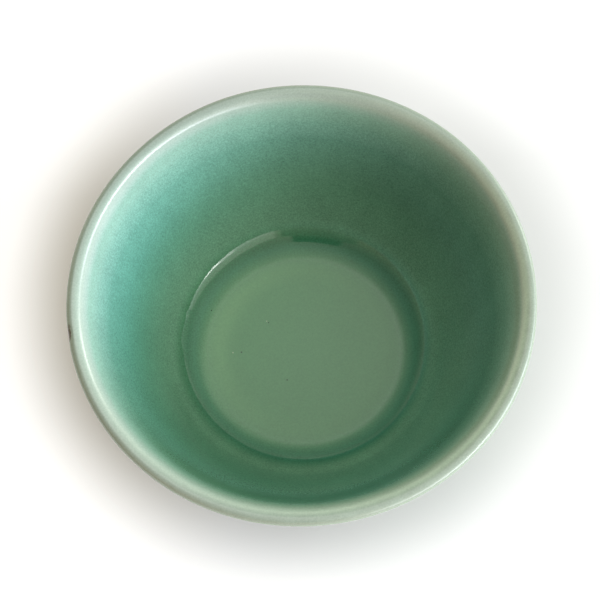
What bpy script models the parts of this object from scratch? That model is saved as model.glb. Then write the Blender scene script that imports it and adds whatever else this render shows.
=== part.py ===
"""Rice bowl: a thrown stoneware bowl with a luted foot ring, a poured liner glaze and a dipped outside glaze.

Four turned solids about +Z, in metres. The origin is the centre of the foot ring's resting plane.
Every profile is worked out below as (radius, height) pairs in millimetres, then turned into a closed solid.
"""

import math

import bmesh
import bpy

MM = 0.001

# overall
RIM_RADIUS = 60.0  # widest radius, at the middle of the lip
HEIGHT = 57.0  # resting plane to the top of the lip
SEGMENTS = 60  # facets round the bowl

# lip
LIP_RADIUS = 1.6  # outer round of the lip
SHOULDER = 11.0  # length of the lip's inner round, from its crest to the straight of the wall
SHOULDER_EASE = 4.2  # above 1, the inner round tightens towards the crest
LIP_LEAN = 69.0  # slope of the wall where the inner round starts, degrees from level
OUTER_LEAN = 74.0  # slope of the outside just under the lip
LIP_OVERLAP = 3.4  # how far the liner glaze runs down the outside, below the lip's middle

# inside
FLOOR_Z = 10.2  # finished floor
FLOOR_RADIUS = 26.7  # flat middle of the floor
COVE_RADIUS = 13.2  # round between the floor and the wall
WALL_LEAN = 56.0  # slope of the wall where it leaves the round, degrees

# outside
BASE_Z = 5.8  # underside of the clay floor, inside the foot ring
WALL_AT_LIP = 4.75  # finished wall thickness
WALL_AT_BASE = 5.2
TAIL_LEAN = 40.0  # slope of the outside at the base, degrees
TAIL = 10.4  # length of the outside below the wall's start
GLAZE_LINE_Z = 7.6  # lower edge of the outside glaze
BASE_CHAMFER = 0.7

# foot ring
FOOT_TOP_OUTER = 31.6
FOOT_TOP_INNER = 25.4
FOOT_OUTER = 30.6
FOOT_INNER = 26.2
FOOT_ROUND = 0.8

# layers
GLAZE = 0.55  # fired glaze thickness
GAP = 0.30  # clearance kept between neighbouring solids


def arc(cx, cz, radius, start_deg, end_deg, count):
    """Points on a circular arc, both ends included."""
    out = []
    for i in range(count + 1):
        a = math.radians(start_deg + (end_deg - start_deg) * i / count)
        out.append((cx + radius * math.cos(a), cz + radius * math.sin(a)))
    return out


def sweep(start, slope0, slope1, bend, length, count):
    """A curve whose slope turns from slope0 to slope1 (degrees) along its length. Points and slopes.

    bend under 1 turns mostly at the start, 1 turns evenly.
    """
    fine = 40
    r, z = start
    points, slopes = [start], [slope0]
    for i in range(count):
        for k in range(fine):
            t = (i + (k + 0.5) / fine) / count
            a = math.radians(slope0 + (slope1 - slope0) * t**bend)
            r += math.cos(a) * length / count / fine
            z += math.sin(a) * length / count / fine
        points.append((r, z))
        slopes.append(slope0 + (slope1 - slope0) * ((i + 1) / count) ** bend)
    return points, slopes


def solve_wall(start, end, slope0, slope1):
    """The bend and the length of the sweep that joins start to end with these two slopes."""
    low, high = 0.2, 4.0
    target = math.atan2(end[1] - start[1], end[0] - start[0])
    for _ in range(60):
        bend = (low + high) / 2
        p = sweep((0.0, 0.0), slope0, slope1, bend, 1.0, 8)[0][-1]
        if math.atan2(p[1], p[0]) > target:
            low = bend
        else:
            high = bend
    return bend, math.dist(start, end) / math.hypot(*p)


def push(point, slope_deg, distance):
    """A point moved off an inner wall of this slope, into the clay."""
    a = math.radians(slope_deg)
    return (point[0] + distance * math.sin(a), point[1] - distance * math.cos(a))


def offset(points, distance):
    """A polyline moved sideways by a distance, to the left of its direction of travel."""
    out = []
    for i, p in enumerate(points):
        dirs = []
        for a, b in ((i - 1, i), (i, i + 1)):
            if a >= 0 and b < len(points):
                dx, dz = points[b][0] - points[a][0], points[b][1] - points[a][1]
                n = math.hypot(dx, dz)
                dirs.append((-dz / n, dx / n))
        nx = sum(d[0] for d in dirs) / len(dirs)
        nz = sum(d[1] for d in dirs) / len(dirs)
        n2 = nx * nx + nz * nz
        out.append((p[0] + distance * nx / n2, p[1] + distance * nz / n2))
    return out


def turned(name, profile, colour, roughness):
    """A solid of revolution about Z. The profile is closed by itself, or starts and ends on the axis."""
    bm = bmesh.new()
    verts = [bm.verts.new((r * MM, 0.0, z * MM)) for r, z in profile]
    pairs = list(zip(verts, verts[1:]))
    if profile[0][0] > 1e-9:
        pairs.append((verts[-1], verts[0]))
    edges = [bm.edges.new(pair) for pair in pairs]
    bmesh.ops.spin(
        bm,
        geom=verts + edges,
        cent=(0.0, 0.0, 0.0),
        axis=(0.0, 0.0, 1.0),
        angle=2.0 * math.pi,
        steps=SEGMENTS,
        use_merge=True,
    )
    bmesh.ops.remove_doubles(bm, verts=bm.verts, dist=1e-6)
    bmesh.ops.recalc_face_normals(bm, faces=bm.faces)
    mesh = bpy.data.meshes.new(name)
    bm.to_mesh(mesh)
    bm.free()
    mesh.shade_smooth()
    mesh.set_sharp_from_angle(angle=math.radians(40.0))
    material = bpy.data.materials.new(name)
    material.use_nodes = True
    shader = material.node_tree.nodes["Principled BSDF"]
    shader.inputs["Base Color"].default_value = (*colour, 1.0)
    shader.inputs["Roughness"].default_value = roughness
    shader.inputs["Metallic"].default_value = 0.0
    mesh.materials.append(material)
    obj = bpy.data.objects.new(name, mesh)
    bpy.context.scene.collection.objects.link(obj)
    return obj


for old in list(bpy.data.objects):
    bpy.data.objects.remove(old, do_unlink=True)

# --- curves shared by the four solids -------------------------------------------------

lip_centre = (RIM_RADIUS - LIP_RADIUS, HEIGHT - LIP_RADIUS)
crest = (lip_centre[0], HEIGHT)

# the lip's inner round, worked out from the crest down, then turned to run upwards
ROUND_STATIONS = 9
down, round_slopes = [crest], [0.0]
for i in range(ROUND_STATIONS):
    r, z = down[-1]
    for k in range(40):
        t = (i + (k + 0.5) / 40) / ROUND_STATIONS
        a = math.radians(LIP_LEAN * (1.0 - (1.0 - t) ** SHOULDER_EASE))
        r -= math.cos(a) * SHOULDER / ROUND_STATIONS / 40
        z -= math.sin(a) * SHOULDER / ROUND_STATIONS / 40
    down.append((r, z))
    round_slopes.append(LIP_LEAN * (1.0 - (1.0 - (i + 1) / ROUND_STATIONS) ** SHOULDER_EASE))
inner_round, round_slopes = down[::-1], round_slopes[::-1]

# finished inside: flat floor, round, wall, inner round of the lip
cove_centre = (FLOOR_RADIUS, FLOOR_Z + COVE_RADIUS)
wall_start = arc(*cove_centre, COVE_RADIUS, WALL_LEAN - 90.0, WALL_LEAN - 90.0, 1)[0]
wall_bend, wall_length = solve_wall(wall_start, inner_round[0], WALL_LEAN, LIP_LEAN)
wall, slopes = sweep(wall_start, WALL_LEAN, LIP_LEAN, wall_bend, wall_length, 8)

# finished outside, from the lip down to the base
thick = [WALL_AT_BASE + (WALL_AT_LIP - WALL_AT_BASE) * i / 8 for i in range(9)]
outside = [push(p, a, t) for p, a, t in zip(wall, slopes, thick)][::-1]
tail = sweep(outside[-1], WALL_LEAN, TAIL_LEAN, 1.0, -TAIL, 4)[0]
lip_end = arc(*lip_centre, LIP_RADIUS, OUTER_LEAN - 90.0, OUTER_LEAN - 90.0, 1)[0]
outside = [lip_end] + outside + tail[1:]


def at_height(points, z):
    """The point of a falling polyline at a height."""
    for (r0, z0), (r1, z1) in zip(points, points[1:]):
        if z0 >= z >= z1:
            k = (z0 - z) / (z0 - z1)
            return (r0 + (r1 - r0) * k, z)
    raise ValueError("height off the curve")


def between(points, top, bottom):
    """The stretch of a falling polyline between two heights."""
    middle = [p for p in points if bottom + 0.05 < p[1] < top - 0.05]
    return [at_height(points, top)] + middle + [at_height(points, bottom)]


def inside(depth):
    """The inside from the axis to the outer round of the lip, at a depth below the finished face."""
    return (
        [(0.0, FLOOR_Z - depth), (13.0, FLOOR_Z - depth)]
        + arc(*cove_centre, COVE_RADIUS + depth, -90.0, WALL_LEAN - 90.0, 6)
        + [push(p, a, depth) for p, a in zip(wall[1:-1], slopes[1:-1])]
        + [push(p, a, depth) for p, a in zip(inner_round, round_slopes)]
        + arc(*lip_centre, LIP_RADIUS - depth, 90.0, 0.0, 3)[1:]
        + arc(*lip_centre, LIP_RADIUS - depth, 0.0, OUTER_LEAN - 90.0, 1)[1:]
    )


skin = GLAZE + GAP
clay_outside = offset(outside, -skin)

# --- 1. stoneware body: wall and floor, in bare clay ------------------------------------

corner = at_height(clay_outside, BASE_Z + BASE_CHAMFER)
body = (
    inside(skin)
    + between(clay_outside, lip_centre[1] - 1.2, BASE_Z + BASE_CHAMFER)
    + [(corner[0] - 1.4 * BASE_CHAMFER, BASE_Z), (13.0, BASE_Z), (0.0, BASE_Z)]
)
turned("stoneware_body", body, (0.56, 0.49, 0.39), 0.72)

# --- 2. foot ring, luted under the floor ------------------------------------------------

foot_top = BASE_Z - GAP
foot = (
    [(FOOT_TOP_INNER, foot_top), (FOOT_TOP_OUTER, foot_top)]
    + arc(FOOT_OUTER - FOOT_ROUND, FOOT_ROUND, FOOT_ROUND, 10.0, -90.0, 4)
    + arc(FOOT_INNER + FOOT_ROUND, FOOT_ROUND, FOOT_ROUND, -90.0, -190.0, 4)
)
turned("foot_ring", foot, (0.50, 0.42, 0.32), 0.80)

# --- 3. liner glaze: floor, inside wall, over the lip and a little down the outside ---------

overlap_z = lip_centre[1] - LIP_OVERLAP
liner_face = inside(0.0) + between(outside, lip_centre[1] - 1.0, overlap_z)
liner_back = inside(GLAZE) + between(offset(outside, -GLAZE), lip_centre[1] - 1.0, overlap_z)
turned("inner_glaze", liner_face + liner_back[::-1], (0.13, 0.27, 0.15), 0.10)

# --- 4. outside glaze, from under the liner's edge to the glaze line above the foot -----------

outer_top = overlap_z - GAP
outer = between(outside, outer_top, GLAZE_LINE_Z) + between(offset(outside, -GLAZE), outer_top, GLAZE_LINE_Z)[::-1]
turned("outer_glaze", outer, (0.17, 0.30, 0.18), 0.12)
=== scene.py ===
import math

import bpy
import numpy as np
from mathutils import Matrix, Vector


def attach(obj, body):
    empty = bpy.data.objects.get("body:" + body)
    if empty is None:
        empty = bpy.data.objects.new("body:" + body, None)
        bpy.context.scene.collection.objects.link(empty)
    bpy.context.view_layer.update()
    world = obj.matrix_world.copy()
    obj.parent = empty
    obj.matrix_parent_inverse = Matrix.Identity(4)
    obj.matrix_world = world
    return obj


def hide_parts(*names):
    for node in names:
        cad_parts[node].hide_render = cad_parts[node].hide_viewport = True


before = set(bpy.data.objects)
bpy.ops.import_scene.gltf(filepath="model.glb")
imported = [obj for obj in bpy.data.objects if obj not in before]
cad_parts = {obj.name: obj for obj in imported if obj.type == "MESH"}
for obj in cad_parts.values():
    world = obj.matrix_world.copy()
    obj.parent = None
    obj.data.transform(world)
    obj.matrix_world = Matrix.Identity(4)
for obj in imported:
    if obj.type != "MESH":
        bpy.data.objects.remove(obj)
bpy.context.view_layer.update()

scene = bpy.context.scene
MM = 0.001

# ======================================================================================
# Driving dimensions, in millimetres: the same bowl as the frame, drawn finer
# ======================================================================================
RIM_RADIUS, HEIGHT = 60.0, 57.0
LIP_RADIUS = 1.6  # outer round of the lip
SHOULDER, SHOULDER_EASE = 11.0, 4.2  # length of the lip's inner round, and how it tightens to the crest
LIP_LEAN, LIP_OVERLAP = 69.0, 3.4
FLOOR_Z, FLOOR_RADIUS = 10.2, 26.7
COVE_RADIUS, WALL_LEAN = 13.2, 56.0
BASE_Z, WALL_AT_LIP, WALL_AT_BASE = 5.8, 4.75, 5.2
TAIL_LEAN, TAIL = 40.0, 10.4
GLAZE_LINE_Z, BASE_CHAMFER = 7.6, 0.7
FOOT_TOP_OUTER, FOOT_TOP_INNER = 31.6, 25.4
FOOT_OUTER, FOOT_INNER, FOOT_ROUND = 30.6, 26.2, 0.8
GLAZE = 0.55
LIP_C = (RIM_RADIUS - LIP_RADIUS, HEIGHT - LIP_RADIUS)

TURN = 360  # facets round the bowl


# ======================================================================================
# Profiles
# ======================================================================================
def rad(a):
    return a * math.pi / 180.0


def arc(c, radius, a0, a1, n):
    a = np.radians(np.linspace(a0, a1, n + 1))
    return np.stack([c[0] + radius * np.cos(a), c[1] + radius * np.sin(a)], 1)


def sweep(start, slopes, length):
    """Points of a curve of this length whose slope, in degrees, runs through these values."""
    fine = 24
    n = len(slopes) - 1
    t = (np.arange(n * fine) + 0.5) / fine
    a = np.radians(np.interp(t, np.arange(n + 1), slopes))
    step = length / (n * fine)
    r = np.concatenate([[0.0], np.cumsum(np.cos(a)) * step])[::fine] + start[0]
    z = np.concatenate([[0.0], np.cumsum(np.sin(a)) * step])[::fine] + start[1]
    return np.stack([r, z], 1)


def solve_wall(start, end, slope0, slope1, n):
    """The slopes and length of a curve from start to end that leaves and arrives at these slopes."""
    low, high = 0.2, 4.0
    target = math.atan2(end[1] - start[1], end[0] - start[0])
    for _ in range(60):
        bend = (low + high) / 2
        slopes = slope0 + (slope1 - slope0) * (np.arange(n + 1) / n) ** bend
        p = sweep((0.0, 0.0), slopes, 1.0)[-1]
        if math.atan2(p[1], p[0]) > target:
            low = bend
        else:
            high = bend
    return slopes, math.dist(start, end) / math.hypot(*p)


def normals(points):
    """Unit normals to the left of a polyline's direction of travel."""
    d = np.gradient(points, axis=0)
    n = np.stack([-d[:, 1], d[:, 0]], 1)
    return n / np.linalg.norm(n, axis=1, keepdims=True)


def smooth(x, a, b):
    t = np.clip((np.asarray(x, float) - a) / (b - a), 0.0, 1.0)
    return t * t * (3.0 - 2.0 * t)


plateau = np.stack([np.linspace(0.0, FLOOR_RADIUS, 19), np.full(19, FLOOR_Z)], 1)
cove_c = (FLOOR_RADIUS, FLOOR_Z + COVE_RADIUS)
cove = arc(cove_c, COVE_RADIUS, -90.0, WALL_LEAN - 90.0, 44)
# the lip's inner round, from the crest down to the wall, then turned to run upwards
SH_N = 40
sh_slopes = LIP_LEAN * (1.0 - (1.0 - np.arange(SH_N + 1) / SH_N) ** SHOULDER_EASE)
shoulder = LIP_C[0] - (sweep((0.0, 0.0), sh_slopes, SHOULDER)[:, 0]), HEIGHT - (sweep((0.0, 0.0), sh_slopes, SHOULDER)[:, 1])
shoulder = np.stack(shoulder, 1)[::-1]
WALL_N = 64
wall_slope, wall_length = solve_wall(cove[-1], shoulder[0], WALL_LEAN, LIP_LEAN, WALL_N)
wall = sweep(cove[-1], wall_slope, wall_length)
lip = arc(LIP_C, LIP_RADIUS, 90.0, -16.0, 26)
thick = WALL_AT_BASE + (WALL_AT_LIP - WALL_AT_BASE) * np.arange(WALL_N + 1) / WALL_N
outside = wall + thick[:, None] * np.stack(
    [np.sin(np.radians(wall_slope)), -np.cos(np.radians(wall_slope))], 1
)
tail = sweep(outside[0], np.linspace(WALL_LEAN, TAIL_LEAN, 25), -TAIL)
# the outside from the lip's lower edge to the clay's corner
outside_down = np.concatenate([lip[-1:], outside[::-1], tail[1:]])


inner_side = np.concatenate([wall, shoulder[1:]])


def out_r(z):
    """Radius of the outside at these heights."""
    return np.interp(z, outside_down[::-1, 1], outside_down[::-1, 0])


# ======================================================================================
# The hand's part in the shape: one gentle deformation that every layer shares
# ======================================================================================
def shared_warp(r, z, th):
    """The thrown bowl isn't quite round or level: up to about 0.4 mm at the lip, none at the foot."""
    up = smooth(z, 8.0, 57.0)
    dr = up * (
        0.16 * np.cos(2.0 * (th - 0.55)) + 0.10 * np.cos(3.0 * (th + 0.9)) + 0.04 * np.cos(5.0 * (th - 1.7))
    )
    dz = up * (0.12 * np.cos(2.0 * (th - 1.9)) + 0.07 * np.cos(3.0 * (th - 0.3)) + 0.03 * np.cos(7.0 * th))
    dr = dr - 0.26 * up * np.exp(6.0 * (np.cos(th - 1.48) - 1.0)) + 0.2 * up * np.exp(9.0 * (np.cos(th - 5.88) - 1.0))
    # the wall is thinner, and the lip's inner round tighter, on one side
    depth = r - np.interp(z, inner_side[:, 1], inner_side[:, 0])
    tuck = smooth(-z, -56.7, -54.2) * smooth(z, 20.0, 50.0) * (1.0 - smooth(depth, 1.2, 3.4))
    dr = dr + 0.5 * tuck * np.exp(3.5 * (np.cos(th - 2.5) - 1.0))
    return r + dr * smooth(r, 4.0, 30.0) - 0.05 * up, z + dz - 0.12 * up


def lathe(name, profile, local=None, turn=TURN):
    """A closed solid of revolution from a profile in millimetres, through the shared warp.

    A profile that starts and ends on the axis is closed there; any other is a loop.
    local(r, z, th, k) moves the points of profile station k before the shared warp.
    """
    profile = np.asarray(profile, float)
    on_axis = profile[0][0] < 1e-6
    body = profile[1:-1] if on_axis else profile
    n = len(body)
    th = np.arange(turn) * 2.0 * math.pi / turn
    R = np.repeat(body[:, 0][:, None], turn, 1)
    Z = np.repeat(body[:, 1][:, None], turn, 1)
    T = np.repeat(th[None, :], n, 0)
    K = np.repeat(np.arange(n)[:, None], turn, 1) + (1 if on_axis else 0)
    if local:
        R, Z = local(R, Z, T, K)
    R, Z = shared_warp(R, Z, T)
    verts = np.stack([R * np.cos(T), R * np.sin(T), Z], -1).reshape(-1, 3)
    i = np.arange(n if not on_axis else n - 1)
    j = np.arange(turn)
    I, J = np.meshgrid(i, j, indexing="ij")
    a = I * turn + J
    b = I * turn + (J + 1) % turn
    I2 = (I + 1) % n
    c = I2 * turn + (J + 1) % turn
    d = I2 * turn + J
    quads = np.stack([a, b, c, d], -1).reshape(-1, 4)
    faces = quads.tolist()
    if on_axis:
        first, last = len(verts), len(verts) + 1
        ends = np.array([[0.0, 0.0, profile[0][1]], [0.0, 0.0, profile[-1][1]]])
        if local:
            r0, z0 = local(
                np.array([[0.0], [0.0]]), ends[:, 2:3], np.zeros((2, 1)), np.array([[0], [len(profile) - 1]])
            )
            ends[:, 2] = z0[:, 0]
        verts = np.concatenate([verts, ends])
        for k in range(turn):
            faces.append([first, (k + 1) % turn, k])
            faces.append([last, (n - 1) * turn + k, (n - 1) * turn + (k + 1) % turn])
    mesh = bpy.data.meshes.new(name)
    mesh.from_pydata((verts * MM).tolist(), [], faces)
    mesh.validate()
    mesh.update()
    obj = bpy.data.objects.new(name, mesh)
    scene.collection.objects.link(obj)
    import bmesh

    bm = bmesh.new()
    bm.from_mesh(mesh)
    bmesh.ops.recalc_face_normals(bm, faces=bm.faces)
    if bm.calc_volume(signed=True) < 0:
        bmesh.ops.reverse_faces(bm, faces=bm.faces)
    bm.to_mesh(mesh)
    bm.free()
    mesh.shade_smooth()
    return obj


# ======================================================================================
# Shader helpers
# ======================================================================================
class Tree:
    """Short hands for building a node tree."""

    def __init__(self, name, kind="materials"):
        self.mat = getattr(bpy.data, kind).new(name)
        self.mat.use_nodes = True
        self.nt = self.mat.node_tree
        self.bsdf = self.nt.nodes.get("Principled BSDF")

    def node(self, kind, **props):
        n = self.nt.nodes.new("ShaderNode" + kind)
        for k, v in props.items():
            setattr(n, k, v)
        return n

    def put(self, socket, value):
        if isinstance(value, bpy.types.NodeSocket):
            self.nt.links.new(value, socket)
        else:
            socket.default_value = value

    def math(self, op, a, b=None, c=None, clamp=False):
        n = self.node("Math", operation=op, use_clamp=clamp)
        for s, v in zip(n.inputs, (a, b, c)):
            if v is not None:
                self.put(s, v)
        return n.outputs[0]

    def vmath(self, op, a, b=None, scale=None):
        n = self.node("VectorMath", operation=op)
        self.put(n.inputs[0], a)
        if b is not None:
            self.put(n.inputs[1], b)
        if scale is not None:
            n.inputs["Scale"].default_value = scale
        return n.outputs["Value"] if op in ("LENGTH", "DISTANCE", "DOT_PRODUCT") else n.outputs["Vector"]

    def ramp(self, fac, stops, mode="LINEAR"):
        n = self.node("ValToRGB")
        n.color_ramp.interpolation = mode
        e = n.color_ramp.elements
        while len(e) < len(stops):
            e.new(0.5)
        for el, (p, col) in zip(e, stops):
            el.position = p
            el.color = (*col, 1.0) if len(col) == 3 else col
        self.put(n.inputs["Fac"], fac)
        return n.outputs["Color"]

    def fit(self, v, a, b, c=0.0, d=1.0, kind="LINEAR"):
        n = self.node("MapRange", interpolation_type=kind, clamp=True)
        self.put(n.inputs["Value"], v)
        for k, x in zip(("From Min", "From Max", "To Min", "To Max"), (a, b, c, d)):
            n.inputs[k].default_value = x
        return n.outputs["Result"]

    def noise(self, vec, scale, detail=2.0, rough=0.5, distort=0.0):
        n = self.node("TexNoise", noise_dimensions="3D")
        self.put(n.inputs["Vector"], vec)
        n.inputs["Scale"].default_value = scale
        n.inputs["Detail"].default_value = detail
        n.inputs["Roughness"].default_value = rough
        n.inputs["Distortion"].default_value = distort
        return n.outputs["Fac"]

    def voronoi(self, vec, scale, feature="F1", out="Distance", randomness=1.0):
        n = self.node("TexVoronoi", feature=feature, voronoi_dimensions="3D")
        self.put(n.inputs["Vector"], vec)
        n.inputs["Scale"].default_value = scale
        n.inputs["Randomness"].default_value = randomness
        return n.outputs[out]

    def mix(self, fac, a, b, kind="MIX"):
        n = self.node("Mix", data_type="RGBA", blend_type=kind)
        self.put(n.inputs["Factor"], fac)
        self.put(n.inputs[6], a if isinstance(a, bpy.types.NodeSocket) else (*a, 1.0))
        self.put(n.inputs[7], b if isinstance(b, bpy.types.NodeSocket) else (*b, 1.0))
        return n.outputs[2]

    def bump(self, height, strength, distance, normal=None):
        n = self.node("Bump")
        n.inputs["Strength"].default_value = strength
        n.inputs["Distance"].default_value = distance
        self.put(n.inputs["Height"], height)
        if normal is not None:
            self.put(n.inputs["Normal"], normal)
        return n.outputs["Normal"]

    def mm(self):
        """Object coordinates in millimetres, and the radius and height of a point."""
        p = self.node("TexCoord").outputs["Object"]
        p = self.vmath("SCALE", p, scale=1000.0)
        sep = self.node("SeparateXYZ")
        self.put(sep.inputs[0], p)
        x, y, z = sep.outputs
        r = self.math("SQRT", self.math("ADD", self.math("MULTIPLY", x, x), self.math("MULTIPLY", y, y)))
        return p, x, y, z, r


# Celadon along the profile, by millimetres from the lip's crest (minus is inside): thin and pale
# over the lip, where the clay shows through, jade on the wall, deepest where it pools
ALONG = [
    (-50.0, (0.154, 0.316, 0.209)),
    (-44.0, (0.141, 0.299, 0.201)),
    (-36.0, (0.118, 0.277, 0.190)),
    (-26.0, (0.106, 0.262, 0.195)),
    (-18.0, (0.100, 0.238, 0.181)),
    (-12.0, (0.150, 0.298, 0.236)),
    (-9.0, (0.207, 0.353, 0.290)),
    (-7.0, (0.240, 0.383, 0.316)),
    (-4.4, (0.296, 0.393, 0.330)),
    (-2.4, (0.365, 0.440, 0.375)),
    (0.0, (0.305, 0.371, 0.318)),
    (1.6, (0.265, 0.315, 0.250)),
    (4.0, (0.250, 0.333, 0.245)),
    (9.0, (0.160, 0.272, 0.188)),
    (20.0, (0.104, 0.222, 0.149)),
    (44.0, (0.090, 0.200, 0.132)),
    (50.0, (0.070, 0.170, 0.112)),
]
# and by radius over the floor and the round that joins it to the wall; the dark ring at 31 to 33 mm is glaze pooled
# in the round, darkened further with painted shade where the round's reflection is dark
ACROSS = [
    (0.0, (0.110, 0.290, 0.138)),
    (24.0, (0.106, 0.284, 0.132)),
    (28.0, (0.105, 0.282, 0.137)),
    (31.0, (0.067, 0.229, 0.132)),
    (33.0, (0.050, 0.188, 0.104)),
    (35.0, (0.092, 0.242, 0.145)),
    (37.0, (0.145, 0.313, 0.204)),
]


# soft colour factors on the liner, partly glaze that ran thinner or thicker, or fired bluer or warmer, than the rest,
# and partly painted light and shade: the upper left wall lighter where the key light falls, darker patches on the
# near and right side in shade, and the lip's highlight and its glow painted up or down. Columns: direction from +X
# in degrees, tightness round the bowl, place and half width (mm along the profile, or radius), tint
WALL_GLAZE_AND_PAINTED_LIGHT = [
    (140.0, 1.6, -18.0, 9.0, (1.32, 1.28, 1.36)),
    (165.0, 3.0, -28.0, 14.0, (0.88, 1.04, 1.10)),
    (80.0, 3.0, -27.0, 13.0, (1.04, 0.94, 0.88)),
    (125.0, 2.5, -38.0, 12.0, (1.06, 1.05, 1.06)),
    (0.0, 4.0, -30.0, 13.0, (1.14, 1.02, 1.06)),
    (222.0, 4.0, -38.0, 14.0, (0.76, 0.84, 0.80)),
    (272.0, 14.0, -27.0, 9.0, (1.46, 1.17, 1.18)),
    (212.0, 6.0, -26.0, 9.0, (0.85, 0.90, 0.86)),
    (240.0, 5.0, -14.0, 7.0, (0.54, 0.66, 0.52)),
    (332.0, 6.0, -46.0, 9.0, (0.88, 0.96, 0.97)),
    (55.0, 4.0, -9.0, 4.0, (0.87, 0.92, 0.86)),
    (110.0, 2.0, -7.0, 2.5, (0.92, 0.95, 0.94)),
    (300.0, 6.0, -20.0, 7.5, (0.55, 0.70, 0.67)),
    (45.0, 5.0, -30.0, 7.0, (0.91, 0.92, 0.94)),
    (182.0, 6.0, -13.0, 4.0, (1.12, 1.04, 1.09)),
    (150.0, 2.5, -4.6, 2.0, (1.14, 1.07, 1.15)),
    (118.0, 2.6, -2.0, 2.2, (0.90, 0.91, 0.93)),
    (150.0, 5.0, -1.5, 1.6, (0.90, 0.94, 0.94)),
    (150.0, 5.0, -6.8, 1.6, (0.91, 0.94, 0.94)),
    (90.0, 5.0, -2.4, 1.0, (0.90, 0.89, 0.90)),
    (125.0, 4.0, -0.9, 1.2, (0.84, 0.86, 0.86)),
    (5.0, 2.5, -1.3, 1.2, (1.26, 1.26, 1.19)),
    (315.0, 3.0, -1.2, 1.1, (1.06, 1.13, 1.10)),
    (350.0, 2.5, -4.4, 1.6, (0.84, 0.89, 0.83)),
    (345.0, 4.0, 0.0, 0.8, (0.88, 0.88, 0.86)),
    (285.0, 2.5, -2.4, 1.6, (1.12, 1.16, 1.14)),
    (300.0, 4.0, -5.6, 3.0, (1.17, 1.10, 1.10)),
]
# the same over the floor by radius: partly glaze, partly painted reflection and shade on the floor's edge and its
# round
FLOOR_GLAZE_AND_PAINTED_LIGHT = [
    (155.0, 1.5, 24.5, 3.4, (1.46, 1.23, 1.26)),
    (350.0, 2.0, 25.6, 2.0, (0.91, 0.95, 0.93)),
    (200.0, 3.0, 32.5, 4.0, (1.16, 1.08, 1.08)),
    (320.0, 2.5, 30.0, 1.0, (1.13, 1.05, 1.12)),
    (305.0, 2.0, 32.2, 1.1, (0.64, 0.91, 0.90)),
    (290.0, 1.3, 34.8, 1.5, (1.36, 1.17, 1.22)),
    (30.0, 4.0, 28.5, 2.0, (0.88, 0.92, 0.90)),
    (300.0, 2.0, 28.8, 2.0, (1.02, 1.01, 1.07)),
    (128.0, 3.0, 33.8, 1.9, (0.70, 0.89, 0.71)),
]
DARK, PALE = (0.020, 0.045, 0.028), (0.42, 0.52, 0.36)
SPECKS = [  # place on the floor, size in mm, colour
    (-25.4, 14.1, 10.4, 0.20, DARK),
    (-17.8, 0.8, 10.2, 0.24, DARK),
    (-20.2, 0.9, 10.2, 0.20, PALE),
    (-9.4, 8.9, 10.2, 0.20, DARK),
    (-9.9, 9.4, 10.2, 0.16, PALE),
    (-5.6, -8.6, 10.2, 0.22, DARK),
]


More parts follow.
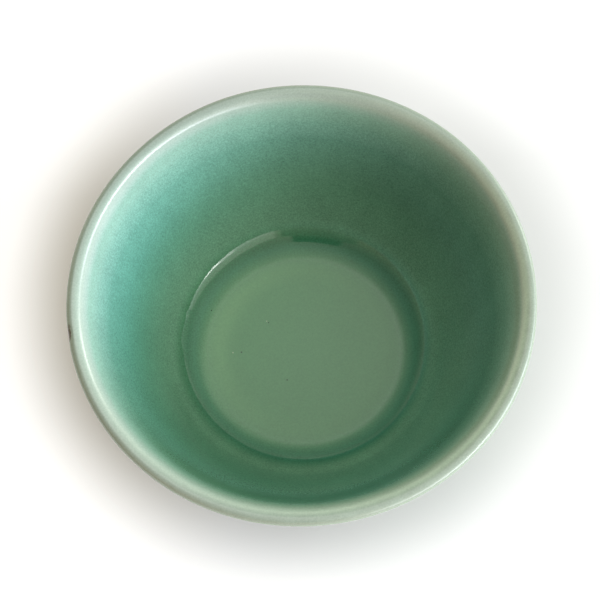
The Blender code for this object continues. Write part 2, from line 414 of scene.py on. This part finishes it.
def glaze_material(name, liner):
    t = Tree(name)
    p, x, y, z, r = t.mm()
    # broad clouds, streaks that ran down the wall, fine grain
    cloud = t.noise(p, 0.055, 2.5, 0.55, 0.3)
    blotch = t.noise(p, 0.21, 3.0, 0.55, 0.4)
    run = t.node("Mapping")
    t.put(run.inputs["Vector"], p)
    run.inputs["Scale"].default_value = (1.0, 1.0, 0.15)
    streak = t.noise(run.outputs["Vector"], 0.16, 2.0, 0.5)
    grain = t.noise(p, 2.2, 2.0, 0.65)
    # place along the profile
    dr = t.math("SUBTRACT", LIP_C[0], r)
    dz = t.math("SUBTRACT", HEIGHT - 0.12, z)
    if liner:
        u_in = t.math("MULTIPLY", t.math("ADD", t.math("MULTIPLY", dr, 0.9), t.math("MULTIPLY", dz, 0.75)), -1.0)
        u_out = t.math("ADD", t.math("MULTIPLY", dr, -0.9), t.math("MULTIPLY", dz, 0.95))
        side = t.math("GREATER_THAN", r, LIP_C[0])
        u = t.math("ADD", t.math("MULTIPLY", side, u_out), t.math("MULTIPLY", t.math("SUBTRACT", 1.0, side), u_in))
    else:
        u = t.math("ADD", dz, 1.2)
    u = t.math("ADD", u, t.math("MULTIPLY", t.math("SUBTRACT", blotch, 0.5), 1.2))
    colour = t.ramp(t.fit(u, -50.0, 50.0), [((k + 50.0) / 100.0, c) for k, c in ALONG])
    if liner:
        low = t.fit(z, 12.6, 17.0, 1.0, 0.0, "SMOOTHSTEP")
        floor_colour = t.ramp(t.fit(r, 0.0, 40.0), [(k / 40.0, c) for k, c in ACROSS])
        colour = t.mix(low, colour, floor_colour)
    # depth of the glaze varies: lighter and darker, yellower and bluer
    vary = t.math("MULTIPLY", t.math("SUBTRACT", cloud, 0.5), 0.20)
    vary = t.math("ADD", vary, t.math("MULTIPLY", t.math("SUBTRACT", streak, 0.5), 0.22))
    vary = t.math("ADD", vary, t.math("MULTIPLY", t.math("SUBTRACT", grain, 0.5), 1.12))
    calm = t.fit(u, -14.0, -3.0, 1.0, 0.35)
    if liner:
        calm = t.math("MULTIPLY", calm, t.fit(r, 26.0, 36.0, 0.30, 1.0))
    vary = t.math("ADD", 1.0, t.math("MULTIPLY", vary, calm))
    scale = t.node("VectorMath", operation="SCALE")
    t.put(scale.inputs[0], colour)
    t.put(scale.inputs["Scale"], vary)
    colour = scale.outputs["Vector"]
    if liner:
        # these tints paint part of the light, shade and reflections into the glaze colour
        for place, shades in ((u, WALL_GLAZE_AND_PAINTED_LIGHT), (r, FLOOR_GLAZE_AND_PAINTED_LIGHT)):
            for deg, tight, centre, half, tint in shades:
                turn = t.math("ADD", t.math("MULTIPLY", x, math.cos(rad(deg))), t.math("MULTIPLY", y, math.sin(rad(deg))))
                turn = t.math("DIVIDE", turn, t.math("MAXIMUM", r, 1.0))
                band = t.math("DIVIDE", t.math("SUBTRACT", place, centre), half)
                band = t.math("MULTIPLY", t.math("MULTIPLY", band, band), -1.0)
                amount = t.math("EXPONENT", t.math("ADD", t.math("MULTIPLY_ADD", turn, tight, -tight), band))
                colour = t.mix(amount, colour, tint, "MULTIPLY")
    # fine crackle in the depth of the glaze
    edge = t.voronoi(p, 0.85, "DISTANCE_TO_EDGE")
    line = t.fit(edge, 0.0, 0.07, 1.0, 0.0, "SMOOTHSTEP")
    line = t.math("MULTIPLY", line, t.math("MULTIPLY", calm, 0.09))
    colour = t.mix(line, colour, (0.045, 0.13, 0.085))
    if liner:
        # iron specks and a pinhole in the floor, and the bare spot on the lip's edge
        for sx, sy, sz, size, tint in SPECKS:
            d = t.vmath("DISTANCE", p, (sx, sy, sz))
            colour = t.mix(t.fit(d, size * 0.6, size * 1.3, 0.85, 0.0), colour, tint)
        chip = t.node("Mapping", vector_type="TEXTURE")
        t.put(chip.inputs["Vector"], p)
        chip.inputs["Location"].default_value = (-59.35, -5.0, 55.9)
        chip.inputs["Scale"].default_value = (0.75, 2.3, 0.95)
        bare = t.math("ADD", t.vmath("LENGTH", chip.outputs["Vector"]), t.math("MULTIPLY", t.noise(p, 1.1, 2.0), 0.9))
        bare = t.fit(bare, 1.15, 1.55, 0.9, 0.0)
        colour = t.mix(bare, colour, (0.085, 0.060, 0.040))
    t.put(t.bsdf.inputs["Base Color"], colour)
    t.put(t.bsdf.inputs["Roughness"], t.math("ADD", 0.03, t.math("MULTIPLY", grain, 0.05)))
    t.bsdf.inputs["IOR"].default_value = 1.5
    n = t.bump(t.noise(p, 0.55, 2.0, 0.5), 0.08, 0.00012)
    n = t.bump(grain, 0.06, 0.00006, n)
    t.put(t.bsdf.inputs["Normal"], n)
    return t.mat


def clay_material(name, warm):
    t = Tree(name)
    p, x, y, z, r = t.mm()
    cloud = t.noise(p, 0.12, 3.0, 0.55)
    grit = t.noise(p, 3.2, 3.0, 0.65)
    # turning marks: fine rings that wander a little
    wander = t.math("MULTIPLY", t.noise(p, 0.09, 1.0), 5.0)
    rings = t.math("SINE", t.math("ADD", t.math("MULTIPLY", t.math("ADD", r, z), 5.4), wander))
    tone = t.math("ADD", t.math("MULTIPLY", cloud, 0.55), t.math("MULTIPLY", grit, 0.35))
    tone = t.math("ADD", tone, t.math("MULTIPLY", rings, 0.05))
    base = t.ramp(
        tone,
        [
            (0.20, tuple(c * 0.72 for c in warm)),
            (0.48, warm),
            (0.75, tuple(min(1.0, c * 1.22) for c in warm)),
        ],
    )
    spot = t.voronoi(p, 0.55, "F1", "Distance")
    pick = t.voronoi(p, 0.55, "F1", "Color")
    sep = t.node("SeparateColor")
    t.put(sep.inputs[0], pick)
    iron = t.math("MULTIPLY", t.fit(spot, 0.05, 0.14, 1.0, 0.0), t.math("GREATER_THAN", sep.outputs[0], 0.72))
    base = t.mix(t.math("MULTIPLY", iron, 0.75), base, (0.085, 0.050, 0.028))
    t.put(t.bsdf.inputs["Base Color"], base)
    t.put(t.bsdf.inputs["Roughness"], t.fit(grit, 0.3, 0.7, 0.72, 0.9))
    n = t.bump(rings, 0.35, 0.00005)
    n = t.bump(grit, 0.45, 0.00012, n)
    t.put(t.bsdf.inputs["Normal"], n)
    return t.mat


# ======================================================================================
# The four pieces
# ======================================================================================
def join(*parts):
    return np.concatenate(parts)


# liner glaze: floor, wall, over the lip, down to its overlap edge, and back along the clay
overlap_z = LIP_C[1] - LIP_OVERLAP
oz = np.linspace(lip[-1][1] - 0.14, overlap_z, 14)
over = np.stack([out_r(oz), oz], 1)
face = join(plateau, cove[1:], wall[1:-1], shoulder, lip[1:], over)
face_n = normals(face)
back = face - face_n * GLAZE
back = np.concatenate([[[0.0, FLOOR_Z - GLAZE]], back[18::3][:-1], back[-1:]])
N_FACE = len(face)


def liner_shape(R, Z, T, K):
    """Small faults of the hand on the liner's face: an edge that fades out, a lump in the floor's round, a chip."""
    on_face = K < N_FACE
    edge = on_face & (K >= N_FACE - 6)
    R = R - np.where(edge, 0.22 * smooth(K, N_FACE - 7, N_FACE - 1), 0.0)
    deg = (np.degrees(T) + 360.0) % 360.0
    slant = 0.22 * (deg - 168.0)
    lump = 0.13 * np.exp(-(((deg - 168.0) / 6.0) ** 2)) * np.exp(-(((R - 33.2 - slant * 0.4) / 1.3) ** 2))
    lump += 0.05 * np.exp(-(((deg - 158.0) / 1.6) ** 2)) * np.exp(-(((R - 34.0) / 0.9) ** 2))
    lump = np.where(on_face & (Z < 20.0), lump, 0.0)
    dent = 0.16 * np.exp(-(((deg - 185.0) / 2.2) ** 2)) * smooth(R, 58.2, 59.0) * smooth(Z, 54.6, 55.6)
    dent = np.where(on_face, dent, 0.0)
    return R - 0.55 * lump - dent, Z + 0.8 * lump - 0.3 * dent


liner = lathe("liner_glaze", join(face, back[::-1]), liner_shape)
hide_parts("inner_glaze")
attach(liner, "root")
liner.data.materials.append(glaze_material("celadon_liner", True))

# outside glaze: from under the liner's edge to a rolled, wandering glaze line above the foot
zs = np.concatenate([np.linspace(overlap_z + 1.2, 9.4, 84), np.linspace(9.3, GLAZE_LINE_Z, 12)])
outer_line = np.stack([out_r(zs), zs], 1)
outer_n = normals(outer_line)
outer_in = outer_line - outer_n * GLAZE
sink = 0.03 * smooth(zs, overlap_z - 1.5, overlap_z)
roll = 0.30 * np.exp(-(((zs - 8.75) / 0.85) ** 2))
end = np.clip((8.5 - zs) / (8.5 - GLAZE_LINE_Z), 0.0, 1.0)
roll -= (GLAZE + 0.30) * (1.0 - np.sqrt(1.0 - 0.97 * end**2))
outer_face = outer_line + outer_n * (roll - sink)[:, None]


def outer_shape(R, Z, T, K):
    """The glaze line wanders by under a millimetre, with a slow run or two."""
    wave = 0.30 * np.sin(2.0 * T + 0.7) + 0.22 * np.sin(5.0 * T + 2.1) + 0.12 * np.sin(11.0 * T + 0.4)
    wave -= 0.55 * np.exp(-((np.degrees(T) - 205.0) / 9.0) ** 2) + 0.40 * np.exp(-((np.degrees(T) - 62.0) / 7.0) ** 2)
    Z2 = Z + (wave + 0.35) * smooth(-Z, -14.0, -GLAZE_LINE_Z)
    return R + out_r(Z2) - out_r(Z), Z2


outer = lathe("outside_glaze", join(outer_face, outer_in[::-3]), outer_shape)
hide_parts("outer_glaze")
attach(outer, "root")
outer.data.materials.append(glaze_material("celadon_outside", False))

# clay body
skin = GLAZE + 0.02
clay_in = (face - face_n * skin)[18 : len(plateau) + len(cove) + len(wall) + len(shoulder) + len(lip) - 6 : 3]
clay_out = outside_down - normals(outside_down) * skin
clay_out = clay_out[(clay_out[:, 1] > BASE_Z + BASE_CHAMFER + 0.2) & (clay_out[:, 1] < LIP_C[1] - 1.2)]
corner_r = float(clay_out[-1][0]) - 0.5
base_pts = np.array(
    [[corner_r, BASE_Z + BASE_CHAMFER], [corner_r - 0.45, BASE_Z + 0.22], [corner_r - 1.1, BASE_Z]]
)
under = np.stack([np.linspace(corner_r - 1.5, 0.0, 60), np.full(60, BASE_Z)], 1)
body = lathe(
    "stoneware_wall",
    join(np.array([[0.0, FLOOR_Z - skin]]), clay_in, clay_out[::3], base_pts, under),
    turn=256,
)
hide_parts("stoneware_body")
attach(body, "root")
body.data.materials.append(clay_material("bare_clay", (0.42, 0.335, 0.235)))

# foot ring
foot_top = BASE_Z - 0.02
foot_profile = join(
    np.stack([np.linspace(FOOT_TOP_INNER, FOOT_TOP_OUTER, 8), np.full(8, foot_top)], 1),
    np.stack([np.linspace(FOOT_TOP_OUTER, FOOT_OUTER + 0.05, 10)[1:], np.linspace(foot_top, 1.1, 10)[1:]], 1),
    arc((FOOT_OUTER - FOOT_ROUND, FOOT_ROUND), FOOT_ROUND, 8.0, -90.0, 8),
    arc((FOOT_INNER + FOOT_ROUND, FOOT_ROUND), FOOT_ROUND, -90.0, -188.0, 8),
    np.stack([np.linspace(FOOT_INNER - 0.05, FOOT_TOP_INNER, 10)[:-1], np.linspace(1.1, foot_top, 10)[:-1]], 1),
)
foot = lathe("turned_foot", foot_profile, turn=256)
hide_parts("foot_ring")
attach(foot, "root")
foot.data.materials.append(clay_material("foot_clay", (0.40, 0.31, 0.21)))

# ======================================================================================
# Floor, light, camera
# ======================================================================================
ground = bpy.data.meshes.new("floor")
ground.from_pydata([(-3, -3, 0), (3, -3, 0), (3, 3, 0), (-3, 3, 0)], [], [(0, 1, 2, 3)])
floor = bpy.data.objects.new("floor", ground)
scene.collection.objects.link(floor)
t = Tree("pale_floor")
p, x, y, z, r = t.mm()
away = t.vmath("DISTANCE", p, (2.5, 21.0, 0.0))
sheet = t.ramp(t.noise(p, 0.012, 3.0), [(0.3, (0.645, 0.635, 0.660)), (0.7, (0.675, 0.665, 0.690))])
# painted shade: a warmer tint on the floor left of the bowl, where its shadow falls, and the floor a little darker on
# the near side
warm = t.math("MULTIPLY", t.fit(x, -25.0, -65.0), t.fit(away, 94.0, 72.0))
sheet = t.mix(warm, sheet, (1.0, 0.955, 0.87), "MULTIPLY")
sheet = t.mix(t.fit(y, -30.0, -50.0), sheet, (0.96, 0.96, 0.97), "MULTIPLY")
t.put(t.bsdf.inputs["Base Color"], sheet)
t.bsdf.inputs["Roughness"].default_value = 0.6
# painted light: the sheet glows, none round the bowl so the shade there stays and fades out to white further away,
# less on the key light's side, a little more on the left and the far side
painted_floor_glow = t.fit(away, 66.0, 94.0, 0.0, 1.0, "SMOOTHSTEP")
lean = t.fit(t.math("ADD", t.math("MULTIPLY", x, -0.82), t.math("MULTIPLY", y, -0.57)), -80.0, 40.0, 0.55, 1.0)
painted_floor_glow = t.math("MULTIPLY_ADD", painted_floor_glow, lean, t.fit(x, -40.0, -70.0, 0.0, 0.06))
painted_floor_glow = t.math("ADD", painted_floor_glow, t.fit(y, 58.0, 78.0, 0.0, 0.12))
t.put(t.bsdf.inputs["Emission Color"], t.ramp(painted_floor_glow, [(0.0, (0.0, 0.0, 0.0)), (1.0, (1.0, 1.0, 1.0))]))
t.bsdf.inputs["Emission Strength"].default_value = 0.5
ground.materials.append(t.mat)


# the room: soft patches of light, each (azimuth from +X towards +Y, elevation, tightness, colour)
PATCHES = [
    # ceiling
    (90.0, 90.0, 20.0, (0.74, 0.71, 0.68)),
    (0.0, 68.0, 20.0, (0.39, 0.38, 0.33)),
    (90.0, 68.0, 20.0, (0.74, 0.73, 0.72)),
    (180.0, 68.0, 20.0, (0.20, 0.17, 0.16)),
    (270.0, 68.0, 20.0, (0.43, 0.37, 0.32)),
    (90.0, 72.0, 90.0, (0.87, 0.86, 0.83)),
    (60.0, 62.0, 90.0, (0.99, 1.08, 0.88)),
    # upper walls
    (0.0, 45.0, 14.0, (0.80, 0.83, 0.75)),
    (45.0, 45.0, 14.0, (0.42, 0.45, 0.39)),
    (180.0, 45.0, 14.0, (0.22, 0.19, 0.22)),
    (225.0, 45.0, 14.0, (0.25, 0.16, 0.18)),
    (270.0, 45.0, 14.0, (0.71, 0.63, 0.53)),
    (315.0, 45.0, 14.0, (0.93, 0.95, 0.85)),
    # lower walls
    (0.0, 15.0, 14.0, (0.02, 0.14, 0.18)),
    (45.0, 15.0, 14.0, (1.13, 1.17, 0.96)),
    (90.0, 15.0, 14.0, (1.43, 1.49, 1.20)),
    (135.0, 15.0, 14.0, (1.43, 1.48, 1.13)),
    (180.0, 15.0, 14.0, (0.40, 0.32, 0.16)),
    (225.0, 15.0, 14.0, (0.42, 0.17, 0.02)),
    (270.0, 15.0, 14.0, (0.48, 0.24, 0.02)),
    (315.0, 15.0, 14.0, (0.77, 0.84, 0.82)),
    # the low key light on the right, a long strip
    (-70.0, 12.0, 60.0, (3.8, 3.9, 4.1)),
    (-55.0, 12.0, 60.0, (6.3, 6.5, 7.0)),
    (-40.0, 12.0, 60.0, (9.0, 9.3, 10.1)),
    (-25.0, 12.0, 60.0, (10.2, 10.6, 11.6)),
    (-10.0, 12.0, 60.0, (8.6, 9.0, 9.9)),
    (5.0, 12.0, 60.0, (4.4, 4.6, 5.1)),
    (30.0, 12.0, 60.0, (7.0, 6.9, 6.7)),
]
# upright panels with an outline, facing the bowl: (azimuth faced, left, right, bottom, top, softness,
# colour), the sides as tangents measured from the bowl
PANELS = [
    (-52.0, -0.47, 1.15, 0.40, 1.00, 0.03, (1.08, 1.15, 1.00)),
    (-52.0, 0.25, 0.49, 0.50, 0.575, 0.015, (14.0, 14.6, 13.8)),
    (-52.0, 0.04, 0.25, 0.48, 0.61, 0.02, (2.8, 3.0, 2.8)),
    (-52.0, 0.49, 1.15, 0.48, 0.61, 0.03, (2.1, 2.3, 2.1)),
]
# flags that hold the light back beside the camera: (as above, and what they let through)
FLAGS = [
    (-105.0, -0.36, 0.31, 1.03, 1.90, 0.03, 0.05),
    (-105.0, -0.50, 0.44, 0.45, 1.03, 0.03, 0.25),
]


def room_light(patches, panels=(), flags=()):
    """The room as one sky: soft patches, window panes with an outline, and flags that hold light back."""
    t = Tree("soft_room", "worlds")
    scene.world = t.mat
    way = t.node("TexCoord").outputs["Generated"]
    sep = t.node("SeparateXYZ")
    t.put(sep.inputs[0], way)
    x, y, z = sep.outputs

    def pane(facing, left, right, bottom, top, soft):
        c, s = math.cos(rad(facing)), math.sin(rad(facing))
        depth = t.math("MAXIMUM", t.math("ADD", t.math("MULTIPLY", x, c), t.math("MULTIPLY", y, s)), 0.001)
        across = t.math("DIVIDE", t.math("SUBTRACT", t.math("MULTIPLY", y, c), t.math("MULTIPLY", x, s)), depth)
        up = t.math("DIVIDE", z, depth)
        inside = 1.0
        for v, edge, sign in ((across, left, 1.0), (across, right, -1.0), (up, bottom, 1.0), (up, top, -1.0)):
            half = t.fit(v, edge - soft, edge + soft, 0.5 - 0.5 * sign, 0.5 + 0.5 * sign, "SMOOTHSTEP")
            inside = t.math("MULTIPLY", half, inside)
        return inside

    def scaled(colour, amount):
        n = t.node("VectorMath", operation="SCALE")
        t.put(n.inputs[0], colour)
        t.put(n.inputs["Scale"], amount)
        return n.outputs["Vector"]

    parts = []
    for a, e, tight, colour in patches:
        to = (math.cos(rad(e)) * math.cos(rad(a)), math.cos(rad(e)) * math.sin(rad(a)), math.sin(rad(e)))
        lobe = t.math("EXPONENT", t.math("MULTIPLY_ADD", t.vmath("DOT_PRODUCT", way, to), tight, -tight))
        parts.append(scaled(colour, lobe))
    for *outline, colour in panels:
        parts.append(scaled(colour, pane(*outline)))
    total = parts[0]
    for part in parts[1:]:
        total = t.vmath("ADD", total, part)
    for *outline, keep in flags:
        total = scaled(total, t.fit(pane(*outline), 0.0, 1.0, 1.0, keep))
    # the camera itself sees a plain pale backdrop
    seen = t.mix(t.node("LightPath").outputs["Is Camera Ray"], total, (0.97, 0.97, 0.97))
    t.put(t.nt.nodes["Background"].inputs["Color"], seen)


room_light(PATCHES, PANELS, FLAGS)

# the camera stands where the photograph was taken from: 70 degrees above level, a little rolled
eye = Vector((-0.0047, -0.1322, 0.4148))
look = Vector((-0.0004, -0.0014, 0.0550))
CAM_ROLL = -3.44
cam_data = bpy.data.cameras.new("camera")
cam_data.sensor_width = 36.0
cam_data.sensor_fit = "HORIZONTAL"
cam_data.lens = 90.04
cam = bpy.data.objects.new("camera", cam_data)
scene.collection.objects.link(cam)
fwd = (look - eye).normalized()
right = fwd.cross(Vector((0, 0, 1))).normalized()
up = right.cross(fwd)
c, s = math.cos(rad(CAM_ROLL)), math.sin(rad(CAM_ROLL))
right, up = c * right + s * up, -s * right + c * up
cam.matrix_world = Matrix(
    ((right.x, up.x, -fwd.x, eye.x), (right.y, up.y, -fwd.y, eye.y), (right.z, up.z, -fwd.z, eye.z), (0, 0, 0, 1))
)
scene.camera = cam
scene.view_settings.view_transform = "Standard"
scene.view_settings.look = "None"
